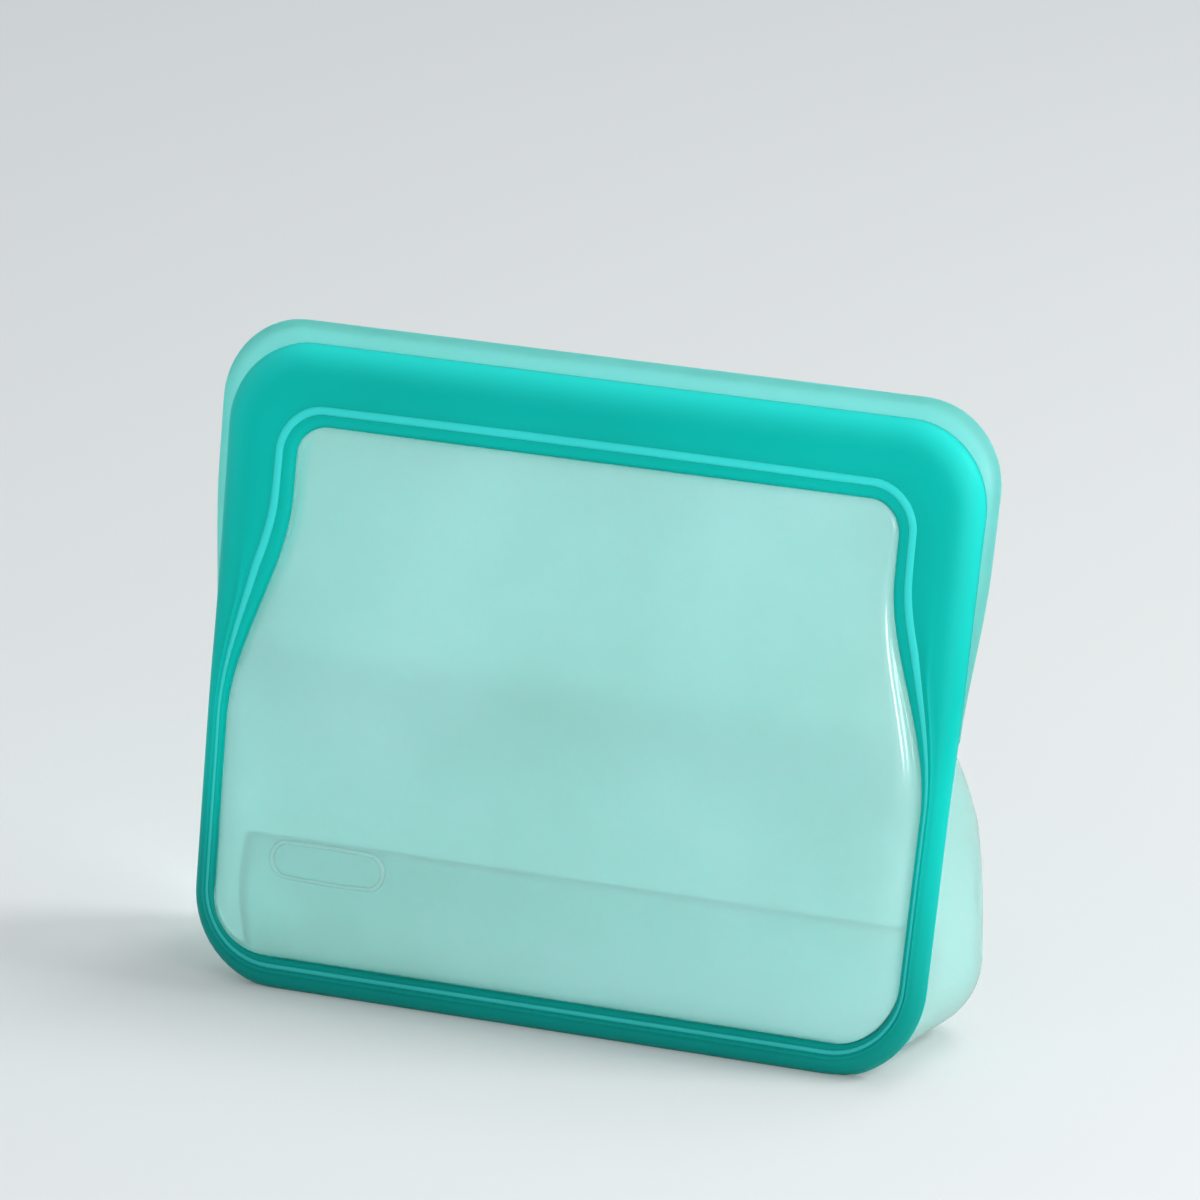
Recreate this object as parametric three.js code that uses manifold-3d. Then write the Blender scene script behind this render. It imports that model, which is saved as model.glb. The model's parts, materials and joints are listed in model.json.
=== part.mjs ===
// A stand-up silicone bag: a thick rounded frame round a thin bulged window, a pinch-to-close
// seal along the top, and a base that folds flat. Lengths are in millimetres, X right, Y back, Z up.
import * as THREE from "three";
import { mergeVertices } from "three/addons/utils/BufferGeometryUtils.js";
import Module from "manifold-3d";

const wasm = await Module();
wasm.setup();

// Driving sizes of the bag
const topWidth = 201;
const bottomWidth = 193;
const panelHeight = 166;
const closedDepth = 12;
const baseDepth = 48;
const leanAngle = THREE.MathUtils.degToRad(13.8);
const topCornerRadius = 18;
const frontDrop = 5.5;
const rearReach = 2.6;
const bottomCornerRadius = 24;

// Frame round the window
const frameDepth = 5.2;
const frameEdgeRound = 1.7;
const topBand = 25.5;
const upperSideBand = 21;
const lowerSideBand = 6;
const bottomBand = 8.5;
const narrowingStart = 70;
const narrowingEnd = 121;
const windowTopRadius = 7.5;
const windowBottomRadius = 16;
const filletEndAngle = 62;

// Thin walls
const windowWall = 1.8;
const frontSetback = 0.6;
const frontBulge = 4;
const rearBulge = 2.6;
const bulgeRound = 3.2;
const lowerWall = 2.4;
const webWall = 1.8;
const floorWall = 1.6;
const splitHeight = 84;
const floorHalfLength = 32.5;
const lowerWallCornerRadius = 14;
const lowerWallSwell = 7;
const swellShift = 0.8;
const swellSteps = 12;
const hemHeight = 1.8;

// Seal along the mouth
const sealBandDepth = 4.2;
const sealBandRound = 0.9;
const sealCentreBelowTop = 15.5;
const ribHeight = 2.6;
const ribReach = 3.6;
const channelDepth = 2.2;
const channelSideRoom = 0.5;
const railHeight = 2.2;
const endStopWidth = 3;

// Raised plain pad at the lower left of the window
const padWidth = 32;
const padHeight = 11;
const padThickness = 0.8;
const padCentreX = -58;
const padCentreUp = 34;

// Clearances
const gap = 0.3;
const hingeGap = 0.5;
const floorLift = 3;
const webInset = 2;
const webLowFront = 13;
const webLowBack = 8;
const webBelowFold = 2;
const floorSideRoom = 0.8;
const creaseRoom = 2.2;

// Steps of the curves, and the distance within which points are one point
const arcSteps = 6;
const sideSteps = 8;
const bevelSteps = 3;
const samePoint = 1e-4;

const frontLineY = -baseDepth / 2;
const weldBack = closedDepth - frameDepth - gap;
const weldFront = frameDepth + gap;
const windowTop = panelHeight - topBand;
const frontHeight = panelHeight - frontDrop;
const legInner = topWidth / 2 - upperSideBand;

const teal = { color: 0x10b9ab, roughness: 0.35, metalness: 0 };
const pale = { color: 0x9fdcd6, roughness: 0.3, metalness: 0 };

// Matrix of a panel whose outer face passes through (y, z), with its own up direction
function panelMatrix(y, z, angle) {
  const across = new THREE.Vector3(1, 0, 0);
  const up = new THREE.Vector3(0, Math.sin(angle), Math.cos(angle));
  const out = new THREE.Vector3().crossVectors(across, up);
  return new THREE.Matrix4().makeBasis(across, up, out).setPosition(0, y, z);
}

const leaning = panelMatrix(frontLineY, 0, leanAngle);

function leanPoint(depth, up) {
  return new THREE.Vector3(0, up, -depth).applyMatrix4(leaning);
}

const splitPoint = leanPoint(closedDepth, splitHeight);
const footTilt = Math.atan2(splitPoint.y - baseDepth / 2, splitPoint.z);
const footLength = Math.hypot(splitPoint.y - baseDepth / 2, splitPoint.z);
const foot = panelMatrix(baseDepth / 2, 0, footTilt);

function toSolid(geometry) {
  const bare = geometry.clone();
  bare.deleteAttribute("normal");
  bare.deleteAttribute("uv");
  const merged = mergeVertices(bare, samePoint);
  return new wasm.Manifold(new wasm.Mesh({
    numProp: 3,
    vertProperties: new Float32Array(merged.attributes.position.array),
    triVerts: new Uint32Array(merged.index.array),
  }));
}

function toGeometry(solid) {
  const mesh = solid.getMesh();
  const geometry = new THREE.BufferGeometry();
  geometry.setAttribute("position", new THREE.BufferAttribute(mesh.vertProperties, 3));
  geometry.setIndex(new THREE.BufferAttribute(mesh.triVerts, 1));
  const faceted = geometry.toNonIndexed();
  faceted.computeVertexNormals();
  return faceted;
}

// Plate between two local depths along its panel's outward direction
function plate(outline, low, high, round, matrix) {
  const bevelled = round > 0;
  const geometry = new THREE.ExtrudeGeometry(new THREE.Shape(outline), {
    depth: high - low - 2 * round,
    steps: 1,
    bevelEnabled: bevelled,
    bevelThickness: round,
    bevelSize: round,
    bevelOffset: -round,
    bevelSegments: bevelSteps,
    curveSegments: arcSteps,
  });
  geometry.translate(0, 0, low + round);
  geometry.applyMatrix4(matrix);
  return toSolid(geometry);
}

function aboveTable(solid) {
  const block = new THREE.BoxGeometry(2 * topWidth, 4 * baseDepth, baseDepth);
  block.translate(0, 0, -baseDepth / 2);
  return solid.subtract(toSolid(block));
}

function box(x0, x1, up0, up1, depth0, depth1, matrix = leaning) {
  const geometry = new THREE.BoxGeometry(x1 - x0, up1 - up0, depth1 - depth0);
  geometry.translate((x0 + x1) / 2, (up0 + up1) / 2, -(depth0 + depth1) / 2);
  geometry.applyMatrix4(matrix);
  return toSolid(geometry);
}

// Points of a quarter circle about (x, y) from one angle to another
function arc(x, y, radius, from, to) {
  return Array.from({ length: arcSteps + 1 }, (_, step) => {
    const angle = THREE.MathUtils.degToRad(from + (to - from) * step / arcSteps);
    return new THREE.Vector2(x + radius * Math.cos(angle), y + radius * Math.sin(angle));
  });
}

function mirrored(points) {
  return points.map((point) => new THREE.Vector2(-point.x, point.y)).reverse();
}

// Both sides of an outline, counter-clockwise, from its right half listed from bottom to top
function closedOutline(right) {
  return [...right, ...mirrored(right)];
}

function outerHalfWidth(up) {
  return THREE.MathUtils.lerp(bottomWidth, topWidth, up / panelHeight) / 2;
}

function openingHalfWidth(up) {
  const blend = THREE.MathUtils.smoothstep(up, narrowingStart, narrowingEnd);
  return THREE.MathUtils.lerp(outerHalfWidth(up) - lowerSideBand, legInner, blend);
}

// Upper corner on the right of a lip that ends at a height and stands out past the front's side
function topCorner(height, reach) {
  const up = height - topCornerRadius;
  return arc(outerHalfWidth(up) + reach - topCornerRadius, up, topCornerRadius, 0, 90);
}

// Right side of the front lip from the bottom line to the top line
function outerRight() {
  const bottomX = outerHalfWidth(bottomCornerRadius) - bottomCornerRadius;
  return [
    ...arc(bottomX, bottomCornerRadius, bottomCornerRadius, -90, 0),
    ...topCorner(frontHeight, 0),
  ];
}

// Right side of the window opening up to the height where its upper end starts
function openingRight(inset, upperEnd) {
  const floorUp = bottomBand + inset;
  const radius = windowBottomRadius;
  const cornerUp = floorUp + radius;
  const corner = arc(openingHalfWidth(cornerUp) - inset - radius, cornerUp, radius, -90, 0);
  const side = Array.from({ length: sideSteps + 1 }, (_, step) => {
    const up = THREE.MathUtils.lerp(narrowingStart, narrowingEnd, step / sideSteps);
    return new THREE.Vector2(openingHalfWidth(up) - inset, up);
  });
  return [...corner, ...side, new THREE.Vector2(legInner - inset, upperEnd)];
}

function windowOutline(inset) {
  const top = windowTop - inset;
  const radius = windowTopRadius;
  const right = openingRight(inset, top - radius);
  right.pop();
  return closedOutline([
    ...right,
    ...arc(legInner - inset - radius, top - radius, radius, 0, 90),
  ]);
}

function frontFrame() {
  const opening = openingRight(0, frontHeight).reverse();
  const outline = [...outerRight(), ...opening, ...mirrored(opening), ...mirrored(outerRight())];
  return aboveTable(plate(outline, -frameDepth, 0, frameEdgeRound, leaning));
}

// Shell bulged by a flat-topped pan: high face at the bulge, open towards the inside of the bag
function bulgedShell(outline, innerOutline, faceDepth, bulge, towardsFront) {
  const rim = faceDepth + (towardsFront ? windowWall : -windowWall);
  const crown = faceDepth + (towardsFront ? -bulge : bulge);
  const innerCrown = crown + (towardsFront ? windowWall : -windowWall);
  const overshoot = towardsFront ? 1 : -1;
  const outer = plate(outline, -Math.max(rim, crown), -Math.min(rim, crown), 0, leaning);
  const pan = shapedPan(outline, crown, rim, towardsFront);
  const hollow = shapedPan(innerOutline, innerCrown, rim + overshoot * bulgeRound, towardsFront);
  return outer.intersect(pan).subtract(hollow);
}

// Solid pan whose crown edge is rounded and whose other end runs on past the rim
function shapedPan(outline, crown, rim, towardsFront) {
  const beyond = rim + (towardsFront ? 2 * bulgeRound : -2 * bulgeRound);
  return plate(outline, -Math.max(crown, beyond), -Math.min(crown, beyond), bulgeRound, leaning);
}

function frontWindow() {
  const outer = windowOutline(gap);
  const inner = windowOutline(gap + windowWall);
  return bulgedShell(outer, inner, frontSetback, frontBulge, true);
}

// Band above the front window, with the fillets of the window's upper corners
function frontSealBand() {
  const half = legInner - gap;
  const radius = windowTopRadius;
  const fillet = arc(legInner - radius, windowTop - radius, radius, 90, filletEndAngle);
  const right = [
    ...fillet,
    new THREE.Vector2(half, fillet.at(-1).y),
    new THREE.Vector2(half, frontHeight),
  ];
  return plate(closedOutline(right), -sealBandDepth, 0, sealBandRound, leaning);
}

function sealRib() {
  const centre = panelHeight - sealCentreBelowTop;
  const start = sealBandDepth + gap;
  const half = legInner - endStopWidth - 3 * gap;
  return box(-half, half, centre - ribHeight / 2, centre + ribHeight / 2, start, start + ribReach);
}

// Frame of the rear panel above the fold of the base, with the channel that takes the rib
function rearFrame() {
  const legFoot = splitHeight + hingeGap;
  const side = Array.from({ length: sideSteps + 1 }, (_, step) => {
    const up = THREE.MathUtils.lerp(legFoot, narrowingEnd, step / sideSteps);
    return new THREE.Vector2(openingHalfWidth(up), up);
  });
  const radius = windowTopRadius;
  const inner = [...side, ...arc(legInner - radius, windowTop - radius, radius, 0, 90)];
  const outer = [
    new THREE.Vector2(outerHalfWidth(legFoot), legFoot),
    ...topCorner(panelHeight, rearReach),
  ];
  const opening = [...inner].reverse();
  const outline = [...outer, ...mirrored(outer), ...mirrored(opening), ...opening];
  const body = plate(outline, -closedDepth, -(closedDepth - frameDepth), frameEdgeRound, leaning);
  const centre = panelHeight - sealCentreBelowTop;
  const reach = ribHeight / 2 + channelSideRoom;
  const start = closedDepth - frameDepth;
  return body.subtract(box(-legInner, legInner, centre - reach, centre + reach, 0, start + channelDepth));
}

function sideWeld(side) {
  const low = splitHeight + hingeGap;
  const high = frontHeight - topCornerRadius;
  const inner = openingHalfWidth(low) + gap;
  const outer = outerHalfWidth(low) - frameEdgeRound;
  const right = [
    new THREE.Vector2(inner, low),
    new THREE.Vector2(outer, low),
    new THREE.Vector2(outerHalfWidth(high) - frameEdgeRound, high),
    new THREE.Vector2(legInner + gap, high),
    ...Array.from({ length: sideSteps }, (_, step) => {
      const up = THREE.MathUtils.lerp(narrowingEnd, low, step / sideSteps);
      return new THREE.Vector2(openingHalfWidth(up) + gap, up);
    }),
  ];
  const outline = side > 0 ? right : mirrored(right);
  return plate(outline, -weldBack, -weldFront, 0, leaning);
}

function sealRail(side) {
  const centre = panelHeight - sealCentreBelowTop;
  const start = ribHeight / 2 + channelSideRoom;
  const near = centre + side * start;
  const far = centre + side * (start + railHeight);
  const half = legInner - gap;
  return box(-half, half, Math.min(near, far), Math.max(near, far), sealBandDepth + gap, weldBack);
}

function sealEndStop(side) {
  const centre = panelHeight - sealCentreBelowTop;
  const low = Math.min(side * (legInner - endStopWidth), side * (legInner - gap));
  const half = ribHeight / 2 + channelSideRoom - gap;
  return box(low, low + endStopWidth - gap, centre - half, centre + half, sealBandDepth + gap, weldBack);
}

function rearWindowUpper() {
  const low = splitHeight + hingeGap;
  const face = closedDepth - windowWall / 2;
  const cut = box(-topWidth, topWidth, -panelHeight, low, -panelHeight, panelHeight);
  const trimmed = windowOutline(gap);
  const inner = windowOutline(gap + windowWall);
  return bulgedShell(trimmed, inner, face, rearBulge, false).subtract(cut);
}

// How far the rear wall swells out at a height above its foot, fullest just above half way
function swellAt(up) {
  const fromFold = THREE.MathUtils.clamp(1 - up / footLength, 0, 1);
  return lowerWallSwell * Math.sin(Math.PI * fromFold ** swellShift);
}

// Point on the rear wall, at a height along the wall's chord and a depth in from its outer face
function rearWallPoint(up, depth) {
  return new THREE.Vector3(0, up, depth - swellAt(up)).applyMatrix4(foot);
}

// Closed profile in the side view, pulled out across the bag from x0 to x1
function acrossBag(profile, x0, x1) {
  const outline = new THREE.Shape(profile.map((p) => new THREE.Vector2(p.y, p.z)));
  const geometry = new THREE.ExtrudeGeometry(outline, { depth: x1 - x0, bevelEnabled: false });
  geometry.rotateY(Math.PI / 2);
  geometry.rotateX(Math.PI / 2);
  geometry.translate(x0, 0, 0);
  return toSolid(geometry);
}

function wallHeights(from, to) {
  return Array.from({ length: swellSteps + 1 }, (_, step) => {
    return THREE.MathUtils.lerp(from, to, step / swellSteps);
  });
}

// Wall of the base behind, swollen, from the table to the fold line
function rearLowerWall() {
  const half = outerHalfWidth(splitHeight);
  const lowHalf = bottomWidth / 2;
  const heights = wallHeights(0, footLength - hingeGap);
  const profile = [
    ...heights.map((up) => rearWallPoint(up, 0)),
    ...heights.reverse().map((up) => rearWallPoint(up, lowerWall)),
  ];
  const right = [
    ...arc(lowHalf - lowerWallCornerRadius, lowerWallCornerRadius, lowerWallCornerRadius, -90, 0),
    new THREE.Vector2(half, footLength - hingeGap),
  ];
  const block = plate(closedOutline(right), -baseDepth / 2, baseDepth / 2, 0, foot);
  return aboveTable(acrossBag(profile, -half, half).intersect(block));
}

function rearBaseHem() {
  const half = bottomWidth / 2 - 2 * lowerWallCornerRadius;
  const face = -(lowerWall + gap);
  return aboveTable(box(-half, half, 0, hemHeight, face - floorWall, face, foot));
}

// Side of the base between the front frame and the rear wall
function sideWeb(side) {
  const front = frameDepth + gap;
  const rearHeights = wallHeights(webLowBack, footLength - webBelowFold);
  const profile = [
    leanPoint(front, splitHeight - webBelowFold / 2),
    leanPoint(front, webLowFront),
    ...rearHeights.map((up) => rearWallPoint(up, lowerWall + gap)),
  ];
  const x = side * (bottomWidth / 2 - webInset);
  return acrossBag(profile, x - webWall / 2, x + webWall / 2);
}

// Both hinges of the floor are equally far from the fold line, so the halves fold up level
const frontFloorLift = splitHeight - (footLength - floorLift);
const frontFloorHinge = leanPoint(frameDepth + gap + floorWall / 2, frontFloorLift);
const rearFloorHinge = new THREE.Vector3(0, floorLift, lowerWall + gap + floorWall / 2).applyMatrix4(foot);
const floorSpan = rearFloorHinge.clone().sub(frontFloorHinge);
const floorRise = Math.acos(floorSpan.length() / 2 / floorHalfLength);
const floorSlope = Math.atan2(floorSpan.z, floorSpan.y);

// One half of the floor, from its hinge up to the crease in the middle
function floorHalf(hinge, direction) {
  const start = floorWall / 2 + gap;
  const length = floorHalfLength - creaseRoom - start;
  const half = bottomWidth / 2 - webInset - webWall / 2 - floorSideRoom;
  const geometry = new THREE.BoxGeometry(2 * half, length, floorWall);
  geometry.translate(0, start + length / 2, 0);
  const across = new THREE.Vector3(1, 0, 0);
  const out = new THREE.Vector3().crossVectors(across, direction);
  geometry.applyMatrix4(new THREE.Matrix4().makeBasis(across, direction, out).setPosition(hinge));
  return toSolid(geometry);
}

function frontFloor() {
  const angle = floorSlope + floorRise;
  return floorHalf(frontFloorHinge, new THREE.Vector3(0, Math.cos(angle), Math.sin(angle)));
}

function rearFloor() {
  const angle = Math.PI + floorSlope - floorRise;
  return floorHalf(rearFloorHinge, new THREE.Vector3(0, Math.cos(angle), Math.sin(angle)));
}

function emblemPad() {
  const half = padHeight / 2;
  const reach = padWidth / 2 - half;
  const right = [...arc(reach, 0, half, -90, 90)];
  const outline = closedOutline(right).map((p) => new THREE.Vector2(p.x + padCentreX, p.y + padCentreUp));
  const face = frontSetback - frontBulge - gap;
  return plate(outline, -face, -face + padThickness, 0, leaning);
}

const bag = new THREE.Group();
bag.name = "silicone_bag";

function addPart(name, solid, finish) {
  const mesh = new THREE.Mesh(toGeometry(solid), new THREE.MeshStandardMaterial(finish));
  mesh.name = name;
  bag.add(mesh);
}

addPart("front_frame", frontFrame(), teal);
addPart("rear_frame", rearFrame(), teal);
for (const [label, side] of [["left", -1], ["right", 1]]) {
  addPart(`${label}_side_weld`, sideWeld(side), teal);
  addPart(`${label}_seal_end_stop`, sealEndStop(side), teal);
  addPart(`${label}_side_web`, sideWeb(side), pale);
}
addPart("seal_channel_upper_rail", sealRail(1), teal);
addPart("seal_channel_lower_rail", sealRail(-1), teal);
addPart("rear_window_upper", rearWindowUpper(), pale);
addPart("front_window", frontWindow(), pale);
addPart("front_seal_band", frontSealBand(), teal);
addPart("front_seal_rib", sealRib(), teal);
addPart("front_blank_pad", emblemPad(), pale);
addPart("rear_lower_wall", rearLowerWall(), pale);
addPart("rear_base_hem", rearBaseHem(), pale);
addPart("floor_front_half", frontFloor(), pale);
addPart("floor_rear_half", rearFloor(), pale);

// The origin is under the middle of the whole bag, on the table
const middle = new THREE.Box3().setFromObject(bag).getCenter(new THREE.Vector3());
for (const mesh of bag.children) {
  mesh.geometry.translate(-middle.x, -middle.y, 0);
}

export default bag;
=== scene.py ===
import json
import math

import bmesh
import bpy
import numpy as np
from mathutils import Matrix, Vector


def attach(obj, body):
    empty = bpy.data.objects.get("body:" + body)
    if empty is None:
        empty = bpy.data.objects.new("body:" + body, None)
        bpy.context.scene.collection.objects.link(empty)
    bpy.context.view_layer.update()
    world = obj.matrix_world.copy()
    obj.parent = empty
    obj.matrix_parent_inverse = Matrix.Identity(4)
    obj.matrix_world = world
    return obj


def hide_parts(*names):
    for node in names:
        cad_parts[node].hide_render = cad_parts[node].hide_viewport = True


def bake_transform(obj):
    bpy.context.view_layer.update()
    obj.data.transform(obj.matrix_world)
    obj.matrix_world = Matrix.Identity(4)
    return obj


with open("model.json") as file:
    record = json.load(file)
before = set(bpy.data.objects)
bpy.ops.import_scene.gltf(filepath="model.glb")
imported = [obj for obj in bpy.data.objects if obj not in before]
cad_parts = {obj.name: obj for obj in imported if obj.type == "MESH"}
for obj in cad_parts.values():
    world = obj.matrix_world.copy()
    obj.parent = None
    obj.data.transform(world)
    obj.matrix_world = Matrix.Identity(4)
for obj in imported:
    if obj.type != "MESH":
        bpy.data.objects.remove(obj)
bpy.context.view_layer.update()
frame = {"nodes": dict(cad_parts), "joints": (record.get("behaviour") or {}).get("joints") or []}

# Sizes of the bag, in millimetres. The widths, heights, depths and bands are the CAD's own. Some
# radii, the curve of the window's sides and the wall differ a little from it.
MM = 0.001
LEAN = math.radians(13.8)
TOP_HALF = 100.5
BOTTOM_HALF = 96.5
HEIGHT = 166.0
THICKNESS = 12.0
PARTING = THICKNESS / 2
BASE_DEPTH = 48.0
SPLIT = 84.0
TOP_RADIUS = 21.0
FRONT_DROP = 5.5
REAR_REACH = 2.6
BOTTOM_RADIUS = 24.0
TOP_BAND = 25.5
BOTTOM_BAND = 8.5
UPPER_BAND = 21.0
LOWER_BAND = 6.0
NARROW_FROM = 66.0
NARROW_TO = 122.0
WINDOW_TOP_RADIUS = 8.0
WINDOW_BOTTOM_RADIUS = 16.5
WALL = 1.5
FLOOR_HALF_LENGTH = 32.5

JOINTS = {joint["name"]: joint for joint in frame["joints"]}
FRONT_LINE = Vector(JOINTS["mouth_open"]["pos_m"]) / MM
FOLD_LINE = Vector(JOINTS["base_fold"]["pos_m"]) / MM
ACROSS = np.array([1.0, 0.0, 0.0])
UP = np.array([0.0, math.sin(LEAN), math.cos(LEAN)])
IN = np.array([0.0, math.cos(LEAN), -math.sin(LEAN)])
FRONT_ORIGIN = np.array([0.0, FRONT_LINE.y, FRONT_LINE.z])


def on_panel(x, up, depth):
    """World points, in millimetres, from places across, up and into the leaning panel."""
    x, up, depth = np.broadcast_arrays(x, up, depth)
    points = FRONT_ORIGIN + x[..., None] * ACROSS + up[..., None] * UP + depth[..., None] * IN
    points[..., 2] = np.maximum(points[..., 2], 0.0)
    return points


def smooth(value, low, high):
    t = np.clip((np.asarray(value, float) - low) / (high - low), 0.0, 1.0)
    return t * t * (3 - 2 * t)


def outer_half(up):
    return BOTTOM_HALF + (TOP_HALF - BOTTOM_HALF) * np.asarray(up, float) / HEIGHT


def opening_half(up):
    low = outer_half(up) - LOWER_BAND
    high = TOP_HALF - UPPER_BAND
    return low + (high - low) * smooth(up, NARROW_FROM, NARROW_TO)


# Outlines: right half from the middle of the bottom to the middle of the top, then mirrored

BOTTOM_STEPS = 18
CORNER_STEPS = 14
SIDE_STEPS = 48
TOP_STEPS = 22


def arc(x, y, radius, start, end, steps):
    angle = np.radians(np.linspace(start, end, steps, endpoint=False))
    return np.stack([x + radius * np.cos(angle), y + radius * np.sin(angle)], 1)


def half_outline(half_width, low, high, low_radius, high_radius):
    low_x = float(half_width(low + low_radius)) - low_radius
    high_x = float(half_width(high - high_radius)) - high_radius
    bottom_x = np.linspace(0, low_x, BOTTOM_STEPS, endpoint=False)
    bottom = np.stack([bottom_x, np.full(BOTTOM_STEPS, low)], 1)
    side_up = np.linspace(low + low_radius, high - high_radius, SIDE_STEPS, endpoint=False)
    side = np.stack([half_width(side_up), side_up], 1)
    top_x = np.linspace(high_x, 0, TOP_STEPS)
    top = np.stack([top_x, np.full(TOP_STEPS, high)], 1)
    return np.concatenate([
        bottom,
        arc(low_x, low + low_radius, low_radius, -90, 0, CORNER_STEPS),
        side,
        arc(high_x, high - high_radius, high_radius, 0, 90, CORNER_STEPS),
        top,
    ])


def whole_outline(right):
    left = right[1:-1][::-1] * np.array([-1.0, 1.0])
    return np.concatenate([right, left])


REACH_FROM = SPLIT - 4
REACH_TO = SPLIT + 44


def rear_outer_half(up):
    return outer_half(up) + REAR_REACH * smooth(up, REACH_FROM, REACH_TO)


OUTER_RIGHT = half_outline(outer_half, 0.0, HEIGHT - FRONT_DROP, BOTTOM_RADIUS, TOP_RADIUS)
REAR_RIGHT = half_outline(rear_outer_half, 0.0, HEIGHT, BOTTOM_RADIUS, TOP_RADIUS)
INNER_RIGHT = half_outline(opening_half, BOTTOM_BAND, HEIGHT - TOP_BAND,
                           WINDOW_BOTTOM_RADIUS, WINDOW_TOP_RADIUS)
OUTER = whole_outline(OUTER_RIGHT)
INNER = whole_outline(INNER_RIGHT)


# Mesh helpers

def make_object(name, points_mm, faces, material):
    mesh = bpy.data.meshes.new(name)
    mesh.from_pydata([tuple(p) for p in np.asarray(points_mm) * MM], [], faces)
    mesh.validate()
    mesh.update()
    obj = bpy.data.objects.new(name, mesh)
    bpy.context.scene.collection.objects.link(obj)
    mesh.materials.append(material)
    mesh.polygons.foreach_set("use_smooth", [True] * len(mesh.polygons))
    return obj


def face_outwards(obj):
    work = bmesh.new()
    work.from_mesh(obj.data)
    bmesh.ops.recalc_face_normals(work, faces=work.faces)
    work.to_mesh(obj.data)
    work.free()
    return obj


def grid_faces(rows, columns, close_rows=False, close_columns=False, offset=0):
    faces = []
    for r in range(rows if close_rows else rows - 1):
        for c in range(columns if close_columns else columns - 1):
            r2 = (r + 1) % rows
            c2 = (c + 1) % columns
            faces.append((offset + r * columns + c, offset + r * columns + c2,
                          offset + r2 * columns + c2, offset + r2 * columns + c))
    return faces


def ring(name, loops, material):
    """Closed tube of closed loops: loops is (section points, loop points, 3)."""
    sections, count = loops.shape[:2]
    faces = grid_faces(sections, count, close_rows=True, close_columns=True)
    return face_outwards(make_object(name, loops.reshape(-1, 3), faces, material))


def strip(name, loops, material):
    """Capped tube along an open line: loops is (section points, line points, 3)."""
    sections, count = loops.shape[:2]
    faces = grid_faces(sections, count, close_rows=True)
    faces.append(tuple(s * count for s in range(sections)))
    faces.append(tuple(s * count + count - 1 for s in reversed(range(sections))))
    return face_outwards(make_object(name, loops.reshape(-1, 3), faces, material))


def sheet_solid(name, outside, inside, material):
    """Closed thin solid between two matching grids of points, (rows, columns, 3)."""
    rows, columns = outside.shape[:2]
    size = rows * columns
    faces = grid_faces(rows, columns)
    faces += [tuple(size + i for i in reversed(face)) for face in grid_faces(rows, columns)]
    border = [c for c in range(columns)]
    border += [r * columns + columns - 1 for r in range(1, rows)]
    border += [(rows - 1) * columns + c for c in range(columns - 2, -1, -1)]
    border += [r * columns for r in range(rows - 2, 0, -1)]
    for i, a in enumerate(border):
        b = border[(i + 1) % len(border)]
        faces.append((b, a, size + a, size + b))
    points = np.concatenate([outside.reshape(-1, 3), inside.reshape(-1, 3)])
    return face_outwards(make_object(name, points, faces, material))


def set_bend(obj, weights):
    """Bakes obj's transform into its mesh; the weights are not used."""
    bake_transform(obj)


def rest_points(obj):
    points = np.zeros(len(obj.data.vertices) * 3, np.float32)
    obj.data.vertices.foreach_get("co", points)
    return points.reshape(-1, 3) / MM


LIP_FREE_HALF = 90.0


def mouth_weights(obj):
    """1 in the middle of the mouth and 0 at its bonded sides."""
    x = rest_points(obj)[:, 0]
    return np.clip(1 - (x / LIP_FREE_HALF) ** 2, 0, 1)


# Materials

SILICONE_IOR = 1.41
SCATTER_RADIUS = (0.35, 1.0, 0.9)
SCATTER_SCALE = 0.004
CLEAR_TINT = (0.02, 0.92, 0.83, 1)
CLOUD_SCALE = 18.0
CLOUD_DARKEST = 0.93
CLOUD_LIGHTEST = 1.05
GLOSSIEST = 0.85
DULLEST = 1.2
BUMP_STRENGTH = 0.25


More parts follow.
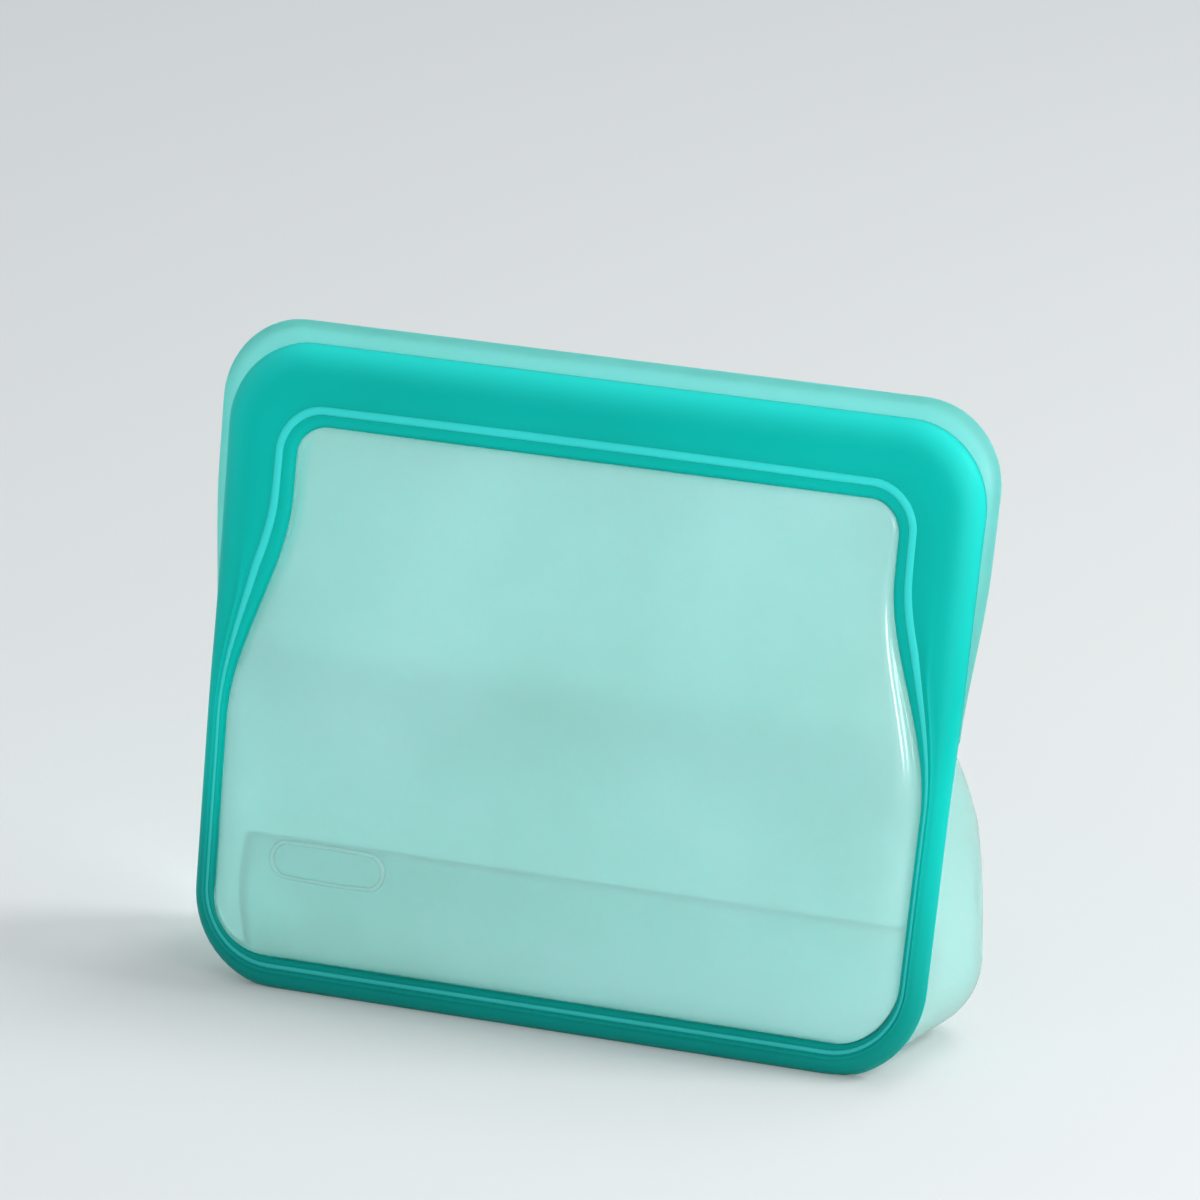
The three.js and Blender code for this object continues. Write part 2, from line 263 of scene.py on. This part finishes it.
def silicone(name, tint, density, roughness, transmission, cloud, grain_scale, grain_depth, shine):
    """Translucent silicone: a satin skin, light scattered near the surface and colour that
    deepens with thickness."""
    material = bpy.data.materials.new(name)
    material.use_nodes = True
    nodes = material.node_tree.nodes
    links = material.node_tree.links
    nodes.clear()
    output = nodes.new("ShaderNodeOutputMaterial")
    skin = nodes.new("ShaderNodeBsdfPrincipled")
    skin.inputs["IOR"].default_value = SILICONE_IOR
    skin.inputs["Transmission Weight"].default_value = transmission
    skin.inputs["Subsurface Weight"].default_value = cloud
    skin.inputs["Subsurface Radius"].default_value = SCATTER_RADIUS
    skin.inputs["Subsurface Scale"].default_value = SCATTER_SCALE
    skin.inputs["Specular IOR Level"].default_value = shine
    place = nodes.new("ShaderNodeTexCoord")
    clouds = nodes.new("ShaderNodeTexNoise")
    clouds.inputs["Scale"].default_value = CLOUD_SCALE
    clouds.inputs["Detail"].default_value = 3.0
    colours = nodes.new("ShaderNodeValToRGB")
    colours.color_ramp.elements[0].position = 0.3
    colours.color_ramp.elements[0].color = [*[c * CLOUD_DARKEST for c in tint], 1]
    colours.color_ramp.elements[1].position = 0.7
    colours.color_ramp.elements[1].color = [*[min(1, c * CLOUD_LIGHTEST) for c in tint], 1]
    grain = nodes.new("ShaderNodeTexNoise")
    grain.inputs["Scale"].default_value = grain_scale
    grain.inputs["Detail"].default_value = 4.0
    gloss = nodes.new("ShaderNodeMapRange")
    gloss.inputs["To Min"].default_value = roughness * GLOSSIEST
    gloss.inputs["To Max"].default_value = roughness * DULLEST
    bump = nodes.new("ShaderNodeBump")
    bump.inputs["Strength"].default_value = BUMP_STRENGTH
    bump.inputs["Distance"].default_value = grain_depth
    links.new(place.outputs["Object"], clouds.inputs["Vector"])
    links.new(place.outputs["Object"], grain.inputs["Vector"])
    links.new(clouds.outputs["Fac"], colours.inputs["Fac"])
    links.new(colours.outputs["Color"], skin.inputs["Base Color"])
    links.new(clouds.outputs["Fac"], gloss.inputs["Value"])
    links.new(gloss.outputs["Result"], skin.inputs["Roughness"])
    links.new(grain.outputs["Fac"], bump.inputs["Height"])
    links.new(bump.outputs["Normal"], skin.inputs["Normal"])
    links.new(skin.outputs["BSDF"], output.inputs["Surface"])
    if density > 0:
        depth = nodes.new("ShaderNodeVolumeAbsorption")
        depth.inputs["Color"].default_value = CLEAR_TINT
        depth.inputs["Density"].default_value = density
        links.new(depth.outputs["Volume"], output.inputs["Volume"])
    return material


def paint_shade_low(material, share, height):
    """Painted shade: darkens the colour towards the table, where less light comes through from
    behind.
    """
    nodes = material.node_tree.nodes
    links = material.node_tree.links
    skin = next(node for node in nodes if node.type == "BSDF_PRINCIPLED")
    colour = skin.inputs["Base Color"].links[0].from_socket
    place = next(node for node in nodes if node.type == "TEX_COORD")
    split = nodes.new("ShaderNodeSeparateXYZ")
    fade = nodes.new("ShaderNodeMapRange")
    fade.interpolation_type = "SMOOTHSTEP"
    fade.inputs["From Min"].default_value = 0.0
    fade.inputs["From Max"].default_value = height
    fade.inputs["To Min"].default_value = share
    fade.inputs["To Max"].default_value = 1.0
    darker = nodes.new("ShaderNodeVectorMath")
    darker.operation = "SCALE"
    links.new(place.outputs["Object"], split.inputs["Vector"])
    links.new(split.outputs["Z"], fade.inputs["Value"])
    links.new(colour, darker.inputs[0])
    links.new(fade.outputs["Result"], darker.inputs["Scale"])
    links.new(darker.outputs["Vector"], skin.inputs["Base Color"])


def pale_edge_and_painted_sheen(material, pale):
    """Lightens the colour where the mesh is marked: partly the thin rim's own paleness, partly a
    painted sheen of the light falling on it.
    """
    nodes = material.node_tree.nodes
    links = material.node_tree.links
    skin = next(node for node in nodes if node.type == "BSDF_PRINCIPLED")
    colour = skin.inputs["Base Color"].links[0].from_socket
    thin = nodes.new("ShaderNodeAttribute")
    thin.attribute_name = "thin_edge_sheen"
    blend = nodes.new("ShaderNodeMixRGB")
    blend.inputs["Color2"].default_value = (*pale, 1)
    links.new(thin.outputs["Fac"], blend.inputs["Fac"])
    links.new(colour, blend.inputs["Color1"])
    links.new(blend.outputs["Color"], skin.inputs["Base Color"])


# Painted light: the rear lip gets a paler, clearer copy of the frame's silicone, standing in for
# the light falling on the upper rim.
PAINTED_LIT_LIP = silicone("painted_lit_lip_silicone", (0.36, 1.0, 0.93), density=45, roughness=0.36,
        transmission=0.62, cloud=0.3, grain_scale=900, grain_depth=0.00004, shine=0.2)
BEAD = silicone("bead_silicone", (0.05, 0.90, 0.83), density=0, roughness=0.34,
        transmission=0.10, cloud=0.5, grain_scale=900, grain_depth=0.00003, shine=0.15)
THICK = silicone("thick_silicone", (0.0, 0.575, 0.50), density=0, roughness=0.45,
        transmission=0.10, cloud=0.6, grain_scale=900, grain_depth=0.00005, shine=0.10)
THIN = silicone("thin_silicone", (0.70, 1.0, 0.955), density=66, roughness=0.14,
        transmission=0.72, cloud=0.30, grain_scale=420, grain_depth=0.00003, shine=0.45)
MEDIUM = silicone("base_silicone", (0.66, 0.94, 0.90), density=60, roughness=0.24,
        transmission=0.66, cloud=0.30, grain_scale=600, grain_depth=0.00004, shine=0.25)

# Painted shade: the frame and bead are darker towards the table.
PAINTED_SHADE_HEIGHT = 0.07
paint_shade_low(THICK, 0.5, PAINTED_SHADE_HEIGHT)
paint_shade_low(BEAD, 0.6, PAINTED_SHADE_HEIGHT)
# Partly painted light: the frame pales at its upper outer rim, a painted sheen of the light from
# above along with the thin rim's own paleness.
pale_edge_and_painted_sheen(THICK, (0.03, 0.77, 0.70))


# Front lip: the thick rounded frame round the window, with a step down beside the window

LIP_ROOM = 0.12
LIP_FACE_DEPTH = 0.18
LIP_FACE_SWELL = 0.35
LIP_EDGE_RADIUS = 7.5
LIP_EDGE_SHARE = 0.54
LIP_STEP_WIDTH = 6.4
LIP_FULL_WIDTH = 17.0


def lip_profile(width):
    """Points (distance in from the outer edge, depth) of the front lip's closed section."""
    round_out = min(LIP_EDGE_RADIUS, LIP_EDGE_SHARE * width)
    small = min(1.0, width / LIP_FULL_WIDTH)
    points = []
    for angle in np.radians(np.linspace(0, 90, 9)):
        depth = PARTING - LIP_ROOM - (PARTING - LIP_ROOM - LIP_FACE_DEPTH) * math.sin(angle)
        points.append((round_out * (1 - math.cos(angle)), depth))
    start = round_out
    end = width - LIP_STEP_WIDTH * small
    for step in np.linspace(0, 1, 7)[1:]:
        swell = LIP_FACE_SWELL * math.sin(math.pi * step)
        points.append((start + (end - start) * step, LIP_FACE_DEPTH - swell))
    step_down = [(5.9, 0.2), (5.2, 0.25), (4.4, 0.3), (3.6, 0.35), (3.0, 0.4), (2.4, 0.45),
                 (1.6, 0.55), (0.9, 0.8), (0.3, 1.25), (0.0, 1.9)]
    for from_window, depth in step_down:
        points.append((width - from_window * small, depth))
    points.append((width, PARTING - 1.6))
    points.append((width - 1.2 * small, PARTING - 0.35))
    points.append((width * 0.66, PARTING - 0.15))
    points.append((width * 0.33, PARTING - LIP_ROOM))
    return points


FLOOR_RELIEF = 1.0
# Width and strength of the pale upper rim: partly the thin rim's own paleness, partly painted
# sheen.
THIN_EDGE_SHEEN_SHARE = 0.55
THIN_EDGE_SHEEN_FROM = 0.5
THIN_EDGE_SHEEN_TO = 9.0


def front_lip():
    spans = np.linalg.norm(INNER - OUTER, axis=1)
    sections = [lip_profile(span) for span in spans]
    back = PARTING - LIP_ROOM - FLOOR_RELIEF * (1 - smooth(OUTER[:, 1], SPLIT - 20, SPLIT + 4))
    loops = []
    for k in range(len(sections[0])):
        along = np.array([section[k][0] / span for section, span in zip(sections, spans)])
        depth = np.minimum([section[k][1] for section in sections], back)
        flat = OUTER + (INNER - OUTER) * along[:, None]
        loops.append(on_panel(flat[:, 0], flat[:, 1], depth))
    piece = ring("front_lip", np.array(loops), THICK)
    # Pale upper rim mark: partly the thin rim's own paleness, partly a painted sheen of the light
    # from above.
    from_edge = np.array([[section[k][0] for section in sections] for k in range(len(sections[0]))])
    near = 1 - smooth(from_edge, THIN_EDGE_SHEEN_FROM, THIN_EDGE_SHEEN_TO)
    thin = THIN_EDGE_SHEEN_SHARE * near * smooth(OUTER[:, 1], SPLIT, HEIGHT - 10)
    mark = piece.data.attributes.new("thin_edge_sheen", "FLOAT", "POINT")
    mark.data.foreach_set("value", thin.ravel().astype(np.float32))
    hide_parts("front_frame", "front_seal_band")
    set_bend(piece, mouth_weights(piece))
    return piece


# Bead: a fine pale ridge of silicone moulded round the window, in the step of the front lip

BEAD_FROM_WINDOW = 4.4
BEAD_HALF_WIDTH = 1.15
BEAD_RISE = 0.6
BEAD_DEPTH = 0.4


def window_bead():
    spans = np.linalg.norm(INNER - OUTER, axis=1)
    small = np.minimum(1.0, spans / LIP_FULL_WIDTH)
    outward = (OUTER - INNER) / spans[:, None]
    loops = []
    for angle in np.linspace(0, 2 * math.pi, 10, endpoint=False):
        away = (BEAD_FROM_WINDOW + BEAD_HALF_WIDTH * math.cos(angle)) * small
        flat = INNER + outward * away[:, None]
        depth = BEAD_DEPTH - BEAD_RISE * math.sin(angle) * small
        loops.append(on_panel(flat[:, 0], flat[:, 1], depth))
    piece = ring("window_bead", np.array(loops), BEAD)
    set_bend(piece, mouth_weights(piece))
    return piece


# Front window: a thin wall swollen by what the bag holds, fullest low down

FRONT_SWELL = 8.5
WINDOW_DEPTH = 1.9
WINDOW_RINGS = 26
WINDOW_CENTRE_UP = 76.0
LEAST_FULL = 0.62
LEAST_FULL_UP = 140
MOST_FULL_UP = 45
EDGE_POWER = 2.6
SIDE_RUN = 46.0
TOP_RUN = 58.0
BOTTOM_RUN = 44.0
TOP_POWER = 0.9
SHARE_POWER = 0.55
RING_CROWDING = 1.25
REACH_TO_CENTRE = 0.985


def window_swell(up, inward):
    """How far the window stands proud at a height and at a share of the way in."""
    fullness = LEAST_FULL + (1 - LEAST_FULL) * smooth(up, LEAST_FULL_UP, MOST_FULL_UP)
    edge = 1 - (1 - inward) ** EDGE_POWER
    return FRONT_SWELL * fullness * edge


def edge_share(x, up):
    """0 at the window's edge, growing to 1 well inside it."""
    side = (opening_half(up) - np.abs(x)) / SIDE_RUN
    top = (HEIGHT - TOP_BAND - up) / TOP_RUN
    bottom = (up - BOTTOM_BAND) / BOTTOM_RUN
    share = np.clip(side, 0, 1) * np.clip(top, 0, 1) ** TOP_POWER * np.clip(bottom, 0, 1)
    return np.clip(share, 0, 1) ** SHARE_POWER


def front_surface(x, up):
    return WINDOW_DEPTH - window_swell(up, edge_share(x, up))


def radial_window(outline, centre_up, rings):
    """Grid of points from the outline to the middle: (rings, outline points, 2)."""
    share = np.linspace(0, 1, rings) ** RING_CROWDING
    centre = np.array([0.0, centre_up])
    return outline[None] + (centre - outline)[None] * (share[:, None, None] * REACH_TO_CENTRE)


def thin_dome(name, flat, depth_out, depth_in, material):
    """Closed thin solid over rings of points that shrink to a small middle patch."""
    rings, count = flat.shape[:2]
    outside = on_panel(flat[..., 0], flat[..., 1], depth_out)
    inside = on_panel(flat[..., 0], flat[..., 1], depth_in)
    points = np.concatenate([outside.reshape(-1, 3), inside.reshape(-1, 3)])
    size = rings * count
    faces = grid_faces(rings, count, close_columns=True)
    faces += [tuple(reversed(f)) for f in grid_faces(rings, count, close_columns=True, offset=size)]
    faces.append(tuple(range((rings - 1) * count, rings * count)))
    faces.append(tuple(reversed(range(size + (rings - 1) * count, size + rings * count))))
    for c in range(count):
        d = (c + 1) % count
        faces.append((c, size + c, size + d, d))
    return face_outwards(make_object(name, points, faces, material))


def front_window():
    flat = radial_window(INNER, WINDOW_CENTRE_UP, WINDOW_RINGS)
    outside = front_surface(flat[..., 0], flat[..., 1])
    piece = thin_dome("window_skin", flat, outside, outside + WALL, THIN)
    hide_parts("front_window")
    set_bend(piece, mouth_weights(piece))
    return piece


# Rear lip: the same thick frame behind, over the mouth and down to the fold line

def rear_line():
    """Matching outer and inner points of the rear lip, from the right fold round to the left."""
    first = int(np.argmax(REAR_RIGHT[:, 1] >= SPLIT))
    right_out = REAR_RIGHT[first:]
    right_in = INNER_RIGHT[first:]
    flip = np.array([-1.0, 1.0])
    out = np.concatenate([right_out, right_out[:-1][::-1] * flip])
    inner = np.concatenate([right_in, right_in[:-1][::-1] * flip])
    return out, inner


REAR_LIP_END_SHARE = 0.35


def rear_lip():
    out, inner = rear_line()
    spans = np.linalg.norm(inner - out, axis=1)
    sections = [lip_profile(span) for span in spans]
    rise = smooth(np.minimum(out[:, 1], inner[:, 1]), SPLIT - 2, SPLIT + 26)
    loops = []
    for k in range(len(sections[0])):
        along = np.array([section[k][0] / span for section, span in zip(sections, spans)])
        depth = np.array([section[k][1] for section in sections])
        thick = (PARTING - depth) * (REAR_LIP_END_SHARE + (1 - REAR_LIP_END_SHARE) * rise)
        flat = out + (inner - out) * along[:, None]
        loops.append(on_panel(flat[:, 0], flat[:, 1], PARTING + LIP_ROOM + thick))
    # Painted light: the rear lip's paler silicone stands in for the lit upper rim.
    piece = strip("rear_lip", np.array(loops), PAINTED_LIT_LIP)
    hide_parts("rear_frame")
    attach(piece, "bag_body")
    return piece


# Base tub: rear window, rear wall of the base and the side webs, in one thin wall

TUB_ROWS = 84
TUB_COLUMNS = 110
TUB_LOW = 4.0
TUB_TOP = HEIGHT - TOP_BAND + 4
TUB_CORNER = 12.0
TUB_INSET = 1.2
REAR_CORNER = 20.0
BACK_EXTRA = 6.0
WALL_SWELL = 7.0
SWELL_SHIFT = 0.8
REAR_WINDOW_SWELL = 5.0
MIDDLE_SWELL = 3.0
MIDDLE_POWER = 3
FRONT_ROOM = 0.4
REAR_FACE_ROOM = 0.6
WINDOW_OVERLAP = 3.0
FOLD_RUN = 8
ROW_CROWDING = 1.5
CORNER_CROWDING = 0.8
FOLD_SMOOTHINGS = 6

FOOT = np.array([0.0, FRONT_LINE.y + BASE_DEPTH, 0.0])
FOLD = np.array([0.0, FOLD_LINE.y, FOLD_LINE.z])
FOOT_LENGTH = float(np.linalg.norm(FOLD - FOOT))
FOOT_UP = (FOLD - FOOT) / FOOT_LENGTH
FOOT_OUT = np.cross(FOOT_UP, ACROSS)


def rear_points(ups):
    """Outer face of the rear, on the bag's middle line, for heights along the front."""
    points = []
    for up in ups:
        if up >= SPLIT:
            points.append(on_panel(0.0, up, THICKNESS - REAR_FACE_ROOM))
        else:
            along = (up - TUB_LOW) / (SPLIT - TUB_LOW)
            swell = WALL_SWELL * math.sin(math.pi * (1 - along) ** SWELL_SHIFT)
            points.append(FOOT + FOOT_UP * FOOT_LENGTH * along + FOOT_OUT * swell)
    points = np.array(points)
    for _ in range(FOLD_SMOOTHINGS):
        points[1:-1] = points[1:-1] * 0.5 + (points[:-2] + points[2:]) * 0.25
    return points


def rounded_corner(rise, radius):
    """How far a rounded lower corner draws the side in at a height above the bottom."""
    drop = max(radius - rise, 0.0)
    return radius - math.sqrt(max(radius * radius - drop * drop, 0.0))


def tub_halves(up):
    """Half width of the tub at its front edge and at its back."""
    wide = float(outer_half(up)) - TUB_INSET
    narrow = min(float(opening_half(up)) + WINDOW_OVERLAP, wide)
    half = narrow + (wide - narrow) * float(smooth(up, SPLIT + 20, SPLIT - 18))
    back = half + BACK_EXTRA * float(smooth(up, SPLIT, SPLIT - 24))
    front_round = rounded_corner(up, BOTTOM_RADIUS)
    back_round = rounded_corner(up - TUB_LOW, REAR_CORNER)
    return half - front_round, back - back_round


def tub_section(front_half, back_half, reach, inset):
    """Points across the tub: (columns, 3) of place across, distance back and share of the web."""
    depth = reach - inset
    radius = max(0.4, min(TUB_CORNER, reach * 0.62)) - inset * 0.4
    web = max(depth - radius, 0.05)
    bend = radius * math.pi / 2
    back = back_half - inset - radius
    total = 2 * (web + bend + back)
    shares = np.linspace(0, 1, TUB_COLUMNS)
    shares = 0.5 - 0.5 * np.sign(0.5 - shares) * np.abs(1 - 2 * shares) ** CORNER_CROWDING
    points = []
    for travelled in shares * total:
        side = 1.0 if travelled <= total / 2 else -1.0
        travelled = min(travelled, total - travelled)
        if travelled < web:
            inward, d = 0.0, travelled
        elif travelled < web + bend:
            angle = (travelled - web) / radius
            inward, d = radius * (1 - math.cos(angle)), depth - radius * (1 - math.sin(angle))
        else:
            inward, d = radius + travelled - web - bend, depth
        share = min(d / max(depth, 0.1), 1.0)
        half = front_half + (back_half - front_half) * share - inset
        points.append((side * (half - inward), d, share))
    return np.array(points)


def tub():
    ups = TUB_LOW + (TUB_TOP - TUB_LOW) * np.linspace(0, 1, TUB_ROWS) ** ROW_CROWDING
    fronts = np.array([on_panel(0.0, up, PARTING + FRONT_ROOM) for up in ups])
    rears = rear_points(ups)
    surfaces = []
    weights = []
    for inset in (0.0, WALL):
        rows = []
        for up, front, rear in zip(ups, fronts, rears):
            reach = float(np.linalg.norm(rear - front))
            back = (rear - front) / reach
            section = tub_section(*tub_halves(up), reach, inset)
            x, d, share = section.T
            middle = np.clip(1 - (np.abs(x) / float(opening_half(up))) ** MIDDLE_POWER, 0, 1)
            window = smooth(up, SPLIT - 12, SPLIT + 26) * smooth(up, TUB_TOP, TUB_TOP - 24)
            low = smooth(up, TUB_LOW, 34) * smooth(up, SPLIT, SPLIT - 40)
            d = d + middle * (REAR_WINDOW_SWELL * window + MIDDLE_SWELL * low)
            rows.append(front + x[:, None] * ACROSS + d[:, None] * back)
            weights.append(float(smooth(up, SPLIT + FOLD_RUN, SPLIT - FOLD_RUN)) * share)
        surfaces.append(np.array(rows))
    outside, inside = surfaces
    for surface in surfaces:
        surface[..., 2] = np.maximum(surface[..., 2], 0.0)
    piece = sheet_solid("base_tub", outside, inside, MEDIUM)
    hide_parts("rear_window_upper", "rear_lower_wall", "left_side_web", "right_side_web")
    set_bend(piece, np.concatenate(weights))
    return piece


# Floor halves

FLOOR_SIDE_ROOM = 2.6
FLOOR_CREASE_ROOM = 0.7
FLOOR_TAPER = 10.0
FLOOR_SAG = 0.3
FLOOR_HALF_WALL = 0.6
FLOOR_ROWS = 14
FLOOR_COLUMNS = 40


def floor_half(name, joint, other, body, node):
    hinge = np.array(JOINTS[joint]["pos_m"]) / MM
    far = np.array(JOINTS[other]["pos_m"]) / MM
    span = np.linalg.norm(far - hinge)
    rise = math.acos(span / 2 / FLOOR_HALF_LENGTH)
    towards = (far - hinge) / span
    upright = np.cross(ACROSS, towards)
    if upright[2] < 0:
        upright = -upright
    along = math.cos(rise) * towards + math.sin(rise) * upright
    out = np.cross(ACROSS, along)
    inward = out * math.copysign(1.0, np.dot(out, far - hinge))
    half = BOTTOM_HALF - TUB_INSET - WALL - FLOOR_SIDE_ROOM
    length = FLOOR_HALF_LENGTH - FLOOR_CREASE_ROOM
    lines = []
    for share in np.linspace(0, 1, FLOOR_ROWS):
        width = half - FLOOR_TAPER * (1 - share) ** 2
        x = np.linspace(-width, width, FLOOR_COLUMNS)
        sag = FLOOR_SAG * math.sin(math.pi * share) * np.cos(x / half * math.pi / 2)
        line = hinge + x[:, None] * ACROSS + share * length * along
        lines.append(line + sag[:, None] * inward)
    middle = np.array(lines)
    skin = out * FLOOR_HALF_WALL
    piece = sheet_solid(name, middle + skin, middle - skin, MEDIUM)
    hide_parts(node)
    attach(piece, body)
    return piece


# Seal: rib on the front lip

RIB_BELOW_TOP = 15.5
RIB_HEIGHT = 2.4
RIB_END = 76.0


def seal_rib():
    x = np.linspace(-RIB_END, RIB_END, 60)
    centre = HEIGHT - RIB_BELOW_TOP
    section = [(-0.5, 5.7), (-0.5, 7.3), (-0.32, 8.0), (0.0, 8.25),
               (0.32, 8.0), (0.5, 7.3), (0.5, 5.7)]
    loops = [on_panel(x, centre + RIB_HEIGHT * rise, depth) for rise, depth in section]
    piece = strip("seal_rib", np.array(loops), THICK)
    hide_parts("front_seal_rib")
    set_bend(piece, mouth_weights(piece))
    return piece


# Plain raised pad at the lower left of the window, a thin rounded outline

PAD_CENTRE = (-58.0, 34.0)
PAD_HALF_WIDTH = 16.0
PAD_HALF_HEIGHT = 5.0


def pad_outline(steps=96):
    angle = np.linspace(0, 2 * math.pi, steps, endpoint=False)
    reach = PAD_HALF_WIDTH - PAD_HALF_HEIGHT
    x = PAD_CENTRE[0] + PAD_HALF_HEIGHT * np.cos(angle) + reach * np.clip(3 * np.cos(angle), -1, 1)
    up = PAD_CENTRE[1] + PAD_HALF_HEIGHT * np.sin(angle)
    return x, up


def pad():
    x, up = pad_outline()
    middle_x, middle_up = PAD_CENTRE
    loops = []
    section = [(0.0, -0.25), (0.0, 0.28), (0.05, 0.42), (0.14, 0.42), (0.19, 0.28), (0.19, -0.25)]
    for share, proud in section:
        px = x + (middle_x - x) * share * 0.4
        pup = up + (middle_up - up) * share
        loops.append(on_panel(px, pup, front_surface(px, pup) - proud))
    piece = ring("plain_pad", np.array(loops), MEDIUM)
    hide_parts("front_blank_pad")
    set_bend(piece, mouth_weights(piece))
    return piece


# Camera

CAMERA_AZIMUTH = math.radians(23.22)
CAMERA_ELEVATION = math.radians(18.53)
CAMERA_DISTANCE = 2.18
FRAME_WIDTH_AT_BAG = 0.2924
AIM_RIGHT = 0.0048
AIM_UP = 0.0227
AIM_HEIGHT = 0.08
SENSOR_WIDTH = 36


def add_camera():
    back = Vector((math.sin(CAMERA_AZIMUTH) * math.cos(CAMERA_ELEVATION),
                   -math.cos(CAMERA_AZIMUTH) * math.cos(CAMERA_ELEVATION),
                   math.sin(CAMERA_ELEVATION)))
    right = Vector((math.cos(CAMERA_AZIMUTH), math.sin(CAMERA_AZIMUTH), 0))
    up = back.cross(right)
    aim = Vector((0, 0, AIM_HEIGHT)) + right * AIM_RIGHT + up * AIM_UP
    data = bpy.data.cameras.new("camera")
    data.sensor_width = SENSOR_WIDTH
    data.lens = SENSOR_WIDTH * CAMERA_DISTANCE / FRAME_WIDTH_AT_BAG
    data.clip_end = 50
    camera = bpy.data.objects.new("camera", data)
    camera.location = aim + back * CAMERA_DISTANCE
    camera.rotation_euler = back.to_track_quat("Z", "Y").to_euler()
    bpy.context.scene.collection.objects.link(camera)
    bpy.context.scene.camera = camera


# Stage and light

def matte(name, colour, roughness):
    material = bpy.data.materials.new(name)
    material.use_nodes = True
    skin = material.node_tree.nodes["Principled BSDF"]
    skin.inputs["Base Color"].default_value = (*colour, 1)
    skin.inputs["Roughness"].default_value = roughness
    skin.inputs["Specular IOR Level"].default_value = 0.0
    return material


def add_floor():
    bpy.ops.mesh.primitive_plane_add(size=12, location=(0, 0, 0))
    floor = bpy.context.object
    floor.name = "floor"
    floor.data.materials.append(matte("pale_floor", (0.73, 0.74, 0.735), 1.0))


def area_light(name, azimuth, elevation, distance, width, height, power, shadow=True):
    a = math.radians(azimuth)
    e = math.radians(elevation)
    place = Vector((math.sin(a) * math.cos(e), -math.cos(a) * math.cos(e), math.sin(e))) * distance
    data = bpy.data.lights.new(name, "AREA")
    data.shape = "RECTANGLE"
    data.size = width
    data.size_y = height
    data.energy = power
    data.use_shadow = shadow
    light = bpy.data.objects.new(name, data)
    light.location = place + Vector((0, 0, AIM_HEIGHT))
    light.rotation_euler = place.to_track_quat("Z", "Y").to_euler()
    bpy.context.scene.collection.objects.link(light)


def add_lights():
    world = bpy.data.worlds.new("studio")
    bpy.context.scene.world = world
    world.use_nodes = True
    sky = world.node_tree.nodes["Background"]
    sky.inputs["Color"].default_value = (0.91, 0.96, 1.0, 1)
    sky.inputs["Strength"].default_value = 0.60
    area_light("key", azimuth=108, elevation=38, distance=2.0,
               width=0.55, height=0.55, power=16)
    area_light("top", azimuth=150, elevation=60, distance=2.0,
               width=0.8, height=0.8, power=7)
    area_light("fill", azimuth=50, elevation=28, distance=1.1,
               width=0.7, height=0.7, power=2.1, shadow=False)
    area_light("strip", azimuth=50, elevation=24, distance=1.6,
               width=0.07, height=0.4, power=5.0, shadow=False)


add_camera()
add_floor()
add_lights()
bpy.context.scene.view_settings.view_transform = "Standard"

front_lip()
window_bead()
front_window()
rear_lip()
tub()
floor_half("floor_front", "front_floor_fold", "rear_floor_fold", "front_floor", "floor_front_half")
floor_half("floor_rear", "rear_floor_fold", "front_floor_fold", "rear_floor", "floor_rear_half")
seal_rib()
pad()

for node in ("left_side_weld", "right_side_weld", "left_seal_end_stop", "right_seal_end_stop",
             "seal_channel_upper_rail", "seal_channel_lower_rail"):
    frame["nodes"][node].material_slots[0].material = THICK
frame["nodes"]["rear_base_hem"].material_slots[0].material = MEDIUM
